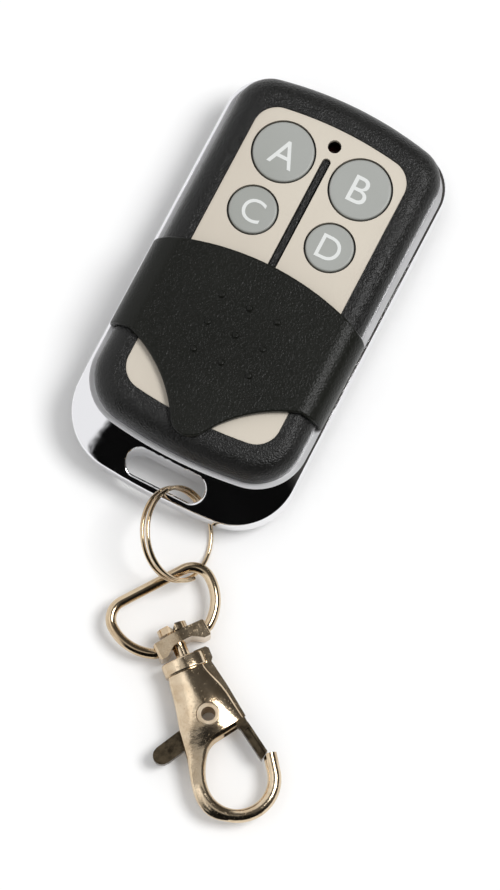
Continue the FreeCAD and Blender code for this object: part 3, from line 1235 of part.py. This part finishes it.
# Gate: lever tab, hub and closing bar in one piece
def gate_lever():
    row = -value("collar_drop + rivet_row")
    low = -value("gate_low")
    thick = value("gate_thick")
    hub = Part.makeCylinder(value("gate_hub"), thick, Vector(0, row, low))
    tip = Part.makeCylinder(value("lever_tip_round"), thick,
                            Vector(-value("lever_tip_x"), -value("collar_drop + lever_tip_row"), low))
    tab = slab(lever_plan(), low, thick)
    arm = slab(arm_plan(), low, thick)
    half = value("gate_bar_half")
    tall = value("gate_low + gate_bar_top")
    length = value("gate_bar_long") + 2 * half
    bar = Part.makeBox(2 * half, length, tall, Vector(-half, -length, low))
    bar = bar.makeFillet(0.3 * half, [edge for edge in bar.Edges if edge.BoundBox.YLength > length - 0.1])
    channel_half = value("gate_channel")
    channel = Part.makeBox(2 * channel_half, length - 2 * half, tall,
                           Vector(-channel_half, half - length, value("gate_bar_top - gate_channel_deep")))
    bar = bar.cut(channel)
    bar.rotate(Vector(0, 0, 0), Vector(0, 0, 1), value("gate_lean"))
    bar.translate(Vector(value("gate_column"), -value("collar_drop + gate_bar_start"), 0))
    bar = bar.cut(slanted_block(0, 3 * half))
    whole = hub.multiFuse([tip, tab, arm, bar]).removeSplitter()
    bore = Part.makeCylinder(value("rivet_round + rivet_gap"), 4 * thick, Vector(0, row, -2 * thick))
    from_shape("gate_lever", whole.cut(bore), clasp_place)


# Gate rivet: a short tube with a rounded flange at each cheek
def gate_rivet():
    row = -value("collar_drop + rivet_row")
    seat = value("rivet_seat + rivet_gap/2")
    thick = value("rivet_flange_thick")
    whole = Part.makeCylinder(value("rivet_round"), 2 * seat, Vector(0, row, -seat))
    for way in (1, -1):
        flange = Part.makeCylinder(value("rivet_flange"), thick, Vector(0, row, way * seat),
                                   Vector(0, 0, way))
        outer = [edge for edge in flange.Edges if abs(edge.BoundBox.Center.z - way * (seat + thick)) < 1e-4]
        whole = whole.fuse(flange.makeFillet(0.6 * thick, outer))
    bore = Part.makeCylinder(value("rivet_bore"), 4 * seat, Vector(0, row, -2 * seat))
    from_shape("gate_rivet", whole.cut(bore), clasp_place)


# Gate spring: the coil round the rivet beside the gate, kept as its plain outer form
def gate_spring():
    row = "-(collar_drop + rivet_row)"
    low = "gate_thick - gate_low + gate_gap"
    coil = rod("spring_coil", "0", row, low, "spring_round", "spring_long")
    eye = rod("spring_eye", "0", row, f"{low} - 1", "spring_round - spring_wire", "spring_long + 2")
    spring = cut("spring_whole", coil, eye)
    spring.Placement = clasp_place
    finished("gate_spring", spring)


lower_shell()
chrome_frame()
upper_shell()
face_plate()
slide_cover()
key_caps()
circuit_board()
switches()
board_parts()
battery_and_contacts()
case_screws()
split_ring()
clasp_bow()
swivel_yoke()
swivel_post()
clasp_body()
gate_lever()
gate_rivet()
gate_spring()
doc.recompute()

# Nothing is written unless every object is sound
for item in doc.Objects:
    if "Invalid" in item.State or "Error" in item.State:
        raise RuntimeError(f"{item.Label} did not compute: {item.State}")
os.makedirs("parts", exist_ok=True)
for label, piece in pieces.items():
    shape = piece.Shape
    if shape.isNull() or not shape.isValid() or not shape.Solids:
        raise RuntimeError(f"{label} has no valid solid")
    shape.exportStep(f"parts/{label}.step")
    print(f"{label}: {len(shape.Solids)} solid, {shape.Volume:.1f} mm3")
print(f"{len(pieces)} pieces")
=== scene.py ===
import json
import math
import bmesh
import bpy
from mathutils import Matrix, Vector


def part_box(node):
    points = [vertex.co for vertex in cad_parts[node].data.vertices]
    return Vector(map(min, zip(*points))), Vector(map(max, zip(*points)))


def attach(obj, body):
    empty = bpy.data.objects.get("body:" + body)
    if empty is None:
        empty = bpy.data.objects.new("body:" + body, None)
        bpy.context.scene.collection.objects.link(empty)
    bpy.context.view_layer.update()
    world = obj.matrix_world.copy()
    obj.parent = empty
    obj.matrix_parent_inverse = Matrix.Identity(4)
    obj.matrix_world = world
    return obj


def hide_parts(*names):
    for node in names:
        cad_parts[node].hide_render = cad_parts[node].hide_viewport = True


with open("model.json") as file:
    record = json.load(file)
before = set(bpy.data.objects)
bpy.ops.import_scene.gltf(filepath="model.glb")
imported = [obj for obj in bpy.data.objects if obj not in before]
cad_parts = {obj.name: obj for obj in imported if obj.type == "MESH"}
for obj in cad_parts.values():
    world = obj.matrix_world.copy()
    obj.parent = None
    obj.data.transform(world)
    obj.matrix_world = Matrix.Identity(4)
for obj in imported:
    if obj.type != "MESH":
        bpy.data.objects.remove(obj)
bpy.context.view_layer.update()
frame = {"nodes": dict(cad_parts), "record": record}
nodes = frame["nodes"]
mm = 0.001
print("frame loaded:", len(nodes), "nodes")


# Camera
cameraView = {"azimuth": 27.222, "elevation": 77.627, "distance": 600, "target": (7.402, -16.826, 0),
              "focalPixels": 4462, "imageHeight": 890, "sensor": 36, "nearest": 0.01, "farthest": 20}


def makeCamera(view):
    turn = math.radians(view["azimuth"])
    rise = math.radians(view["elevation"])
    back = Vector((math.sin(turn) * math.cos(rise), -math.cos(turn) * math.cos(rise), math.sin(rise)))
    data = bpy.data.cameras.new("photoCamera")
    data.sensor_width = view["sensor"]
    data.lens = view["focalPixels"] / view["imageHeight"] * view["sensor"]
    data.clip_start = view["nearest"]
    data.clip_end = view["farthest"]
    camera = bpy.data.objects.new("photoCamera", data)
    camera.location = (Vector(view["target"]) + back * view["distance"]) * mm
    camera.rotation_mode = "QUATERNION"
    camera.rotation_quaternion = (-back).to_track_quat("-Z", "Y")
    bpy.context.scene.collection.objects.link(camera)
    bpy.context.scene.camera = camera


makeCamera(cameraView)
print("camera set")


# Shader helper: wraps a socket so that shader maths reads as Python
class Sock:
    def __init__(self, tree, socket):
        self.tree = tree
        self.socket = socket

    def node(self, kind, settings=None, out=0, **values):
        return addNode(self.tree, kind, settings, out, **values)

    def sibling(self, out):  # another output of the same node
        return Sock(self.tree, self.socket.node.outputs[out])

    def math(self, operation, first, second):
        return self.node("ShaderNodeMath", {"operation": operation}, in0=first, in1=second)

    def __add__(self, other):
        return self.math("ADD", self, other)

    def __radd__(self, other):
        return self.math("ADD", self, other)

    def __sub__(self, other):
        return self.math("SUBTRACT", self, other)

    def __rsub__(self, other):
        return self.math("SUBTRACT", other, self)

    def __mul__(self, other):
        return self.math("MULTIPLY", self, other)

    def __rmul__(self, other):
        return self.math("MULTIPLY", self, other)

    def step(self, low, high):
        return self.node("ShaderNodeMapRange", {"interpolation_type": "SMOOTHSTEP"},
                         in0=self, in1=low, in2=high, in3=0.0, in4=1.0)


def addNode(tree, kind, settings=None, out=0, **values):
    made = tree.nodes.new(kind)
    for name, setting in (settings or {}).items():
        setattr(made, name, setting)
    for name, item in values.items():
        numbered = name.startswith("in") and name[2:].isdigit()
        socket = made.inputs[int(name[2:])] if numbered else made.inputs[name]
        if isinstance(item, Sock):
            tree.links.new(item.socket, socket)
        elif isinstance(item, tuple) and len(item) < len(socket.default_value):
            socket.default_value = (*item, 1)
        else:
            socket.default_value = item
    return Sock(tree, made.outputs[out])


def mixColour(factor, first, second):
    return factor.node("ShaderNodeMix", {"data_type": "RGBA"}, out=2, in0=factor, in6=first, in7=second)


def linear(red, green, blue):  # from the screen's 0 to 255
    return tuple((c / 255 / 12.92) if c <= 10 else ((c / 255 + 0.055) / 1.055) ** 2.4 for c in (red, green, blue))


def newMaterial(name):
    material = bpy.data.materials.new(name)
    material.use_nodes = True
    tree = material.node_tree
    tree.nodes.clear()
    surface = tree.nodes.new("ShaderNodeBsdfPrincipled")
    output = tree.nodes.new("ShaderNodeOutputMaterial")
    tree.links.new(surface.outputs[0], output.inputs[0])
    place = addNode(tree, "ShaderNodeTexCoord", out=3)  # Object coordinates
    return material, surface, place


def feed(surface, **values):
    tree = surface.id_data
    for name, item in values.items():
        socket = surface.inputs[name.replace("_", " ")]
        if isinstance(item, Sock):
            tree.links.new(item.socket, socket)
        elif isinstance(item, tuple):
            socket.default_value = (*item, 1)
        else:
            socket.default_value = item


def noise(place, scale, detail=3.0, roughness=0.5):
    return place.node("ShaderNodeTexNoise", Vector=place, Scale=scale, Detail=detail, Roughness=roughness)


def bump(height, distance):
    return height.node("ShaderNodeBump", Height=height, Distance=distance, Strength=1.0)


# Blacks: sand-textured shell and satin cover
shellFinish = {"colour": linear(18, 18, 17), "paler": 1.25, "grain": 4000, "grainDepth": 0.00013, "drift": 60,
               "wear": 420, "wearFrom": (0.62, 0.8), "rough": 0.27, "driftRough": 0.1, "wearRough": 0.05,
               "gloss": 0.34}
coverFinish = {**shellFinish, "colour": linear(18, 19, 15), "grain": 3800, "grainDepth": 0.00008, "rough": 0.3,
               "gloss": 0.22}
cloudFrom = (0.3, 0.7)  # the middle part of a noise, spread to its full range


def mouldedBlack(name, finish):
    material, surface, place = newMaterial(name)
    grain = noise(place, finish["grain"], 2.0)
    drift = noise(place, finish["drift"], 2.0)
    wear = noise(place, finish["wear"], 4.0, 0.65).step(*finish["wearFrom"])
    paler = tuple(c * finish["paler"] for c in finish["colour"])
    feed(surface, Base_Color=mixColour(drift.step(*cloudFrom), finish["colour"], paler),
         Roughness=finish["rough"] + finish["driftRough"] * (drift - 0.5) + finish["wearRough"] * wear,
         Normal=bump(grain, finish["grainDepth"]))
    surface.inputs["Specular IOR Level"].default_value = finish["gloss"]
    return material


# Chrome: polished, with a satin flat rim
chromeFinish = {"colour": linear(236, 236, 238), "smear": 140, "smearFrom": (0.45, 0.75), "rough": 0.035,
                "smearRough": 0.035, "rimFrom": (0.95, 0.985), "rimRough": 0.33, "waves": 90, "depth": 0.000004}


def brightChrome(name, finish):
    material, surface, place = newMaterial(name)
    smear = noise(place, finish["smear"]).step(*finish["smearFrom"])
    facing = place.node("ShaderNodeNewGeometry", out=1)
    rim = place.node("ShaderNodeSeparateXYZ", out=2, in0=facing).step(*finish["rimFrom"])
    feed(surface, Base_Color=finish["colour"], Metallic=1.0,
         Roughness=finish["rough"] + finish["smearRough"] * smear + finish["rimRough"] * rim,
         Normal=bump(noise(place, finish["waves"], 1.0), finish["depth"]))
    return material


# Champagne plate, finely brushed along the body
plateFinish = {"darker": linear(207, 198, 184), "paler": linear(213, 205, 191), "cloud": 55,
               "brushing": (2600.0, 90.0, 1.0), "metal": 0.35, "rough": 0.42, "brushRough": 0.12,
               "depth": 0.0000025}


def satinPlate(name, finish):
    material, surface, place = newMaterial(name)
    stretched = place.node("ShaderNodeMapping", in0=place, in3=finish["brushing"])
    brushed = place.node("ShaderNodeTexNoise", Vector=stretched, Scale=1.0, Detail=2.0)
    cloud = noise(place, finish["cloud"], 2.0)
    feed(surface, Base_Color=mixColour(cloud.step(*cloudFrom), finish["darker"], finish["paler"]),
         Metallic=finish["metal"], Roughness=finish["rough"] + finish["brushRough"] * brushed,
         Normal=bump(brushed, finish["depth"]))
    return material


# Grey keys and their white print
keyFinish = {"darker": linear(156, 158, 153), "paler": linear(163, 165, 161), "cloud": 70, "grain": 3000,
             "metal": 0.15, "rough": 0.42, "cloudRough": 0.08, "depth": 0.000012}
printFinish = {"darker": linear(214, 216, 214), "paler": linear(220, 222, 220), "cloud": 500, "rough": 0.45}


def keyCap(name, finish):
    material, surface, place = newMaterial(name)
    cloud = noise(place, finish["cloud"], 2.0)
    grain = noise(place, finish["grain"], 2.0)
    feed(surface, Base_Color=mixColour(cloud.step(*cloudFrom), finish["darker"], finish["paler"]),
         Metallic=finish["metal"], Roughness=finish["rough"] + finish["cloudRough"] * cloud,
         Normal=bump(grain, finish["depth"]))
    return material


def printWhite(name, finish):
    material, surface, place = newMaterial(name)
    cloud = noise(place, finish["cloud"])
    feed(surface, Base_Color=mixColour(cloud, finish["darker"], finish["paler"]), Roughness=finish["rough"])
    return material


# Warm nickel: drawn wire, the clasp's casting, its rivet and the dark gate
wireFinish = {"tint": linear(218, 198, 168), "shade": linear(190, 166, 134), "rough": 0.12, "pits": 0.06,
              "waves": 190, "specks": 900, "depth": 0.000014}
castFinish = {"tint": linear(222, 203, 175), "shade": linear(196, 173, 142), "rough": 0.15, "pits": 0.16,
              "waves": 330, "specks": 2800, "depth": 0.000022}
rivetFinish = {"tint": linear(232, 214, 188), "shade": linear(206, 184, 154), "rough": 0.4, "pits": 0.06,
               "waves": 330, "specks": 2800, "depth": 0.000014}
tabFinish = {"tint": linear(98, 87, 70), "shade": linear(52, 45, 35), "rough": 0.3, "pits": 0.25,
             "waves": 900, "specks": 3200, "depth": 0.00005}
nickelMix = {"pitFrom": (0.56, 0.72), "smearFrom": (0.35, 0.7), "pitShade": 0.6, "speckHeight": 0.5}


def warmNickel(name, finish):
    material, surface, place = newMaterial(name)
    smear = noise(place, finish["waves"], 4.0, 0.6)
    speck = noise(place, finish["specks"], 3.0, 0.6)
    pit = speck.step(*nickelMix["pitFrom"])
    colour = mixColour(smear.step(*nickelMix["smearFrom"]), finish["tint"], finish["shade"])
    colour = mixColour(nickelMix["pitShade"] * pit, colour, finish["shade"])
    feed(surface, Base_Color=colour, Metallic=1.0, Roughness=finish["rough"] + finish["pits"] * pit,
         Normal=bump(smear + nickelMix["speckHeight"] * speck, finish["depth"]))
    return material


# Plain finishes, mostly of the pieces inside
plainFinish = {"cloud": 300, "metal": 0.0, "cloudRough": 0.1, "depth": 0.00001}
epoxyFinish = {**plainFinish, "darker": linear(34, 34, 36), "paler": linear(46, 46, 48), "rough": 0.5}
creamFinish = {**plainFinish, "darker": linear(214, 206, 180), "paler": linear(226, 218, 194), "rough": 0.5}
canFinish = {**plainFinish, "darker": linear(190, 190, 186), "paler": linear(205, 205, 200), "rough": 0.3,
             "metal": 1.0}
# The indicator light's red tint is its own; its near-black depth is painted shade, standing for the dark hole it
# sits in under the roof
ledShadeFinish = {**plainFinish, "darker": linear(30, 7, 6), "paler": linear(42, 10, 8), "rough": 0.15}
cellFinish = {**plainFinish, "darker": linear(70, 74, 84), "paler": linear(86, 90, 100), "rough": 0.35,
              "metal": 0.6, "cloud": 120}
contactFinish = {**plainFinish, "darker": linear(196, 192, 184), "paler": linear(210, 206, 198), "rough": 0.25,
                 "metal": 1.0}
screwFinish = {**plainFinish, "darker": linear(120, 120, 122), "paler": linear(150, 150, 152), "rough": 0.35,
               "metal": 1.0, "cloud": 500}
boardFinish = {"darker": linear(18, 92, 46), "paler": linear(34, 120, 62), "tracks": 260.0, "offset": 0.37,
               "weave": 1500, "rough": 0.35, "weaveRough": 0.1, "depth": 0.00002}


def plainMoulding(name, finish):
    material, surface, place = newMaterial(name)
    cloud = noise(place, finish["cloud"])
    feed(surface, Base_Color=mixColour(cloud.step(*cloudFrom), finish["darker"], finish["paler"]),
         Metallic=finish["metal"], Roughness=finish["rough"] + finish["cloudRough"] * (cloud - 0.5),
         Normal=bump(cloud, finish["depth"]))
    return material


def solderMask(name, finish):
    material, surface, place = newMaterial(name)
    tracks = place.node("ShaderNodeTexBrick", {"offset": finish["offset"]}, out=1, Vector=place,
                        Scale=finish["tracks"])
    weave = noise(place, finish["weave"], 2.0)
    feed(surface, Base_Color=mixColour(tracks, finish["darker"], finish["paler"]),
         Roughness=finish["rough"] + finish["weaveRough"] * weave, Normal=bump(tracks, finish["depth"]))
    return material


finishes = {
    "shell": mouldedBlack("shellBlack", shellFinish),
    "cover": mouldedBlack("coverBlack", coverFinish),
    "chrome": brightChrome("frameChrome", chromeFinish),
    "plate": satinPlate("plateChampagne", plateFinish),
    "key": keyCap("keyGrey", keyFinish),
    "print": printWhite("letterWhite", printFinish),
    "nickel": warmNickel("wireNickel", wireFinish),
    "cast": warmNickel("castNickel", castFinish),
    "castTab": warmNickel("tabNickel", tabFinish),
    "rivet": warmNickel("rivetNickel", rivetFinish),
    "board": solderMask("boardGreen", boardFinish),
    "epoxy": plainMoulding("chipEpoxy", epoxyFinish),
    "cream": plainMoulding("plungerCream", creamFinish),
    "can": plainMoulding("canMetal", canFinish),
    "lens": plainMoulding("lightDark", ledShadeFinish),
    "cell": plainMoulding("cellSleeve", cellFinish),
    "contact": plainMoulding("contactNickel", contactFinish),
    "screw": plainMoulding("screwSteel", screwFinish),
}
print("finishes made:", len(finishes))


# Skins: a merged, smoothly shaded copy of a CAD node stands for it
bodyOf = {node: body for body, members in frame["record"]["behaviour"]["bodies"].items() for node in members}
slotOf = {row["node"]: row["material_slot"] for row in frame["record"]["subparts"]}
weldGap = {"solid": 1e-7, "letter": 1e-6}
# The frame's long triangles are cut, so that its slope mirrors evenly round the slot
smoothing = {"crease": 32, "pull": 50, "cuts": 0}
frameSmoothing = {"crease": 22, "pull": 100, "cuts": 6, "longest": 1.0}


def mergedCopy(node, smooth):
    form = bmesh.new()
    form.from_mesh(nodes[node].data)
    bmesh.ops.remove_doubles(form, verts=form.verts, dist=weldGap["solid"])
    bmesh.ops.dissolve_degenerate(form, edges=form.edges, dist=weldGap["solid"])
    for _ in range(smooth["cuts"]):
        longEdges = [edge for edge in form.edges if edge.calc_length() > smooth["longest"] * mm]
        bmesh.ops.subdivide_edges(form, edges=longEdges, cuts=1)
    bmesh.ops.triangulate(form, faces=form.faces)
    crease = math.radians(smooth["crease"])
    for edge in form.edges:
        edge.smooth = edge.is_manifold and edge.calc_face_angle(0) < crease
    for face in form.faces:
        face.smooth = True
    return form


def placePiece(form, name, finish, body, slot, *replaced):
    mesh = bpy.data.meshes.new(name)
    form.to_mesh(mesh)
    form.free()
    mesh.materials.clear()
    mesh.materials.append(finishes[finish])
    piece = bpy.data.objects.new(name, mesh)
    bpy.context.scene.collection.objects.link(piece)
    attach(piece, body)
    if replaced:
        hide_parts(*replaced)
    return piece


def skin(node, finish, name, smooth):
    form = mergedCopy(node, smooth)
    piece = placePiece(form, name, finish, bodyOf[node], slotOf[node], node)
    even = piece.modifiers.new("evenNormals", "WEIGHTED_NORMAL")
    even.keep_sharp = True
    even.weight = smooth["pull"]


skins = {
    "lower_shell": ("shell", "lowerShellSkin"), "upper_shell": ("shell", "upperShellSkin"),
    "chrome_frame": ("chrome", "chromeFrameSkin"), "face_plate": ("plate", "facePlateSkin"),
    "slide_cover": ("cover", "slideCoverSkin"), "key_a": ("key", "keyASkin"), "key_b": ("key", "keyBSkin"),
    "key_c": ("key", "keyCSkin"), "key_d": ("key", "keyDSkin"), "split_ring": ("nickel", "splitRingSkin"),
    "clasp_bow": ("nickel", "claspBowSkin"), "swivel_yoke": ("cast", "swivelYokeSkin"),
    "swivel_post": ("cast", "swivelPostSkin"), "clasp_body": ("cast", "claspBodySkin"),
    "gate_lever": ("castTab", "gateLeverSkin"), "gate_rivet": ("rivet", "gateRivetSkin"),
    "gate_spring": ("contact", "gateSpringSkin"), "case_screws": ("screw", "caseScrewSkin"),
}
for node, (finish, name) in skins.items():
    skin(node, finish, name, frameSmoothing if node == "chrome_frame" else smoothing)

# The pieces inside keep their CAD meshes and only get a finish
carried = {
    "circuit_board": "board", "indicator_light": "lens", "encoder_chip": "epoxy", "radio_resonator": "can",
    "radio_transistor": "epoxy", "tuning_capacitor": "can", "chip_resistors": "epoxy", "battery": "cell",
    "contact_plus": "contact", "contact_minus": "contact",
}
for letter in "abcd":
    carried["switch_" + letter] = "epoxy"
    carried["plunger_" + letter] = "cream"
for node, finish in carried.items():
    slots = nodes[node].data.materials
    if slots:
        slots[0] = finishes[finish]
    else:
        slots.append(finishes[finish])
print("pieces dressed:", len(skins) + len(carried))


# Letters printed on the keys, as thin raised plates
letters = {"thick": 0.07, "sink": 0.02, "resolution": 6,
           "a": {"tall": 3.70, "shift": (0.24, -0.22)}, "b": {"tall": 3.78, "shift": (0.02, -0.19)},
           "c": {"tall": 3.32, "shift": (0.04, -0.10)}, "d": {"tall": 3.36, "shift": (0.04, -0.17)}}


def letterForm(letter):
    words = bpy.data.curves.new("letterOutline", "FONT")
    words.body = letter.upper()
    words.resolution_u = letters["resolution"]
    words.extrude = 0.5  # to both sides, so one unit thick before it is scaled
    outline = bpy.data.objects.new("letterOutline", words)
    bpy.context.scene.collection.objects.link(outline)
    bpy.context.view_layer.update()
    flat = bpy.data.meshes.new_from_object(outline)
    bpy.data.objects.remove(outline)
    bpy.data.curves.remove(words)
    form = bmesh.new()
    form.from_mesh(flat)
    bpy.data.meshes.remove(flat)
    bmesh.ops.remove_doubles(form, verts=form.verts, dist=weldGap["letter"])
    return form


def printLetter(letter):
    form = letterForm(letter)
    for axis in (0, 1):
        places = [vert.co[axis] for vert in form.verts]
        offset = Vector((0, 0, 0))
        offset[axis] = -(min(places) + max(places)) / 2
        bmesh.ops.translate(form, verts=form.verts, vec=offset)
    grow = letters[letter]["tall"] * mm / (2 * max(vert.co.y for vert in form.verts))
    bmesh.ops.scale(form, verts=form.verts, vec=(grow, grow, letters["thick"] * mm))
    low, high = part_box("key_" + letter)
    middle = (Vector(low) + Vector(high)) / 2
    right, up = letters[letter]["shift"]
    rise = high[2] + (letters["thick"] / 2 - letters["sink"]) * mm
    bmesh.ops.translate(form, verts=form.verts, vec=(middle.x + right * mm, middle.y + up * mm, rise))
    bmesh.ops.recalc_face_normals(form, faces=form.faces)
    placePiece(form, "letter" + letter.upper(), "print", "key_" + letter, "key_grey")


for letter in "abcd":
    printLetter(letter)
print("letters printed")


# Floor and lamps
floorPaper = {"size": 3.0, "colour": (0.95, 0.95, 0.95), "rough": 0.9, "gloss": 0.1}
keyLamp = {"place": (0.42, 0.25, 0.87), "size": 0.45, "power": 5.68}
fillLamp = {"place": (-0.25, -0.2, 0.95), "size": 0.6, "power": 0.44}
lampAim = (0, -0.015, 0)
# The room: even light, and for mirrors a bright west side and a dark east side, dim to the north
room = {"light": 0.6, "darkFrom": (-0.38, -0.26), "horizon": (0.03, 0.09), "northFrom": (-0.3, 0.05),
        "dark": (0.003, 0.003, 0.003), "dim": (0.07, 0.066, 0.062), "bright": (0.95, 0.95, 0.96),
        "backdrop": (1.0, 1.0, 1.0)}


def makeFloor(paper):
    form = bmesh.new()
    bmesh.ops.create_grid(form, x_segments=1, y_segments=1, size=paper["size"])
    mesh = bpy.data.meshes.new("paleFloor")
    form.to_mesh(mesh)
    form.free()
    floor = bpy.data.objects.new("paleFloor", mesh)
    bpy.context.scene.collection.objects.link(floor)
    material, surface, _ = newMaterial("floorPaper")
    feed(surface, Base_Color=paper["colour"], Roughness=paper["rough"])
    surface.inputs["Specular IOR Level"].default_value = paper["gloss"]
    mesh.materials.append(material)


def makeLamp(name, lamp):
    data = bpy.data.lights.new(name, "AREA")
    data.shape = "DISK"
    data.size = lamp["size"]
    data.energy = lamp["power"]
    made = bpy.data.objects.new(name, data)
    made.location = lamp["place"]
    aim = Vector(lampAim) - Vector(lamp["place"])
    made.rotation_mode = "QUATERNION"
    made.rotation_quaternion = aim.to_track_quat("-Z", "Y")
    bpy.context.scene.collection.objects.link(made)


def makeWorld(room):
    world = bpy.data.worlds.new("studioWorld")
    world.use_nodes = True
    tree = world.node_tree
    tree.nodes.clear()
    direction = addNode(tree, "ShaderNodeTexCoord")  # the ray's direction
    east = direction.node("ShaderNodeSeparateXYZ", in0=direction)
    north, up = east.sibling(1), east.sibling(2)
    dark = east.step(*room["darkFrom"]) * up.step(*room["horizon"])
    dim = mixColour(north.step(*room["northFrom"]), room["dark"], room["dim"])
    mirrored = mixColour(dark, room["bright"], dim)
    cameraRay = addNode(tree, "ShaderNodeLightPath")
    glossyRay = cameraRay.sibling(3)
    mixed = mixColour(glossyRay, (room["light"],) * 3, mirrored)
    mixed = mixColour(cameraRay, mixed, room["backdrop"])
    background = addNode(tree, "ShaderNodeBackground", in0=mixed, in1=1.0)
    output = tree.nodes.new("ShaderNodeOutputWorld")
    tree.links.new(background.socket, output.inputs[0])
    bpy.context.scene.world = world


makeFloor(floorPaper)
makeLamp("keyLamp", keyLamp)
makeLamp("fillLamp", fillLamp)
makeWorld(room)
bpy.context.scene.view_settings.view_transform = "Standard"
print("studio ready")
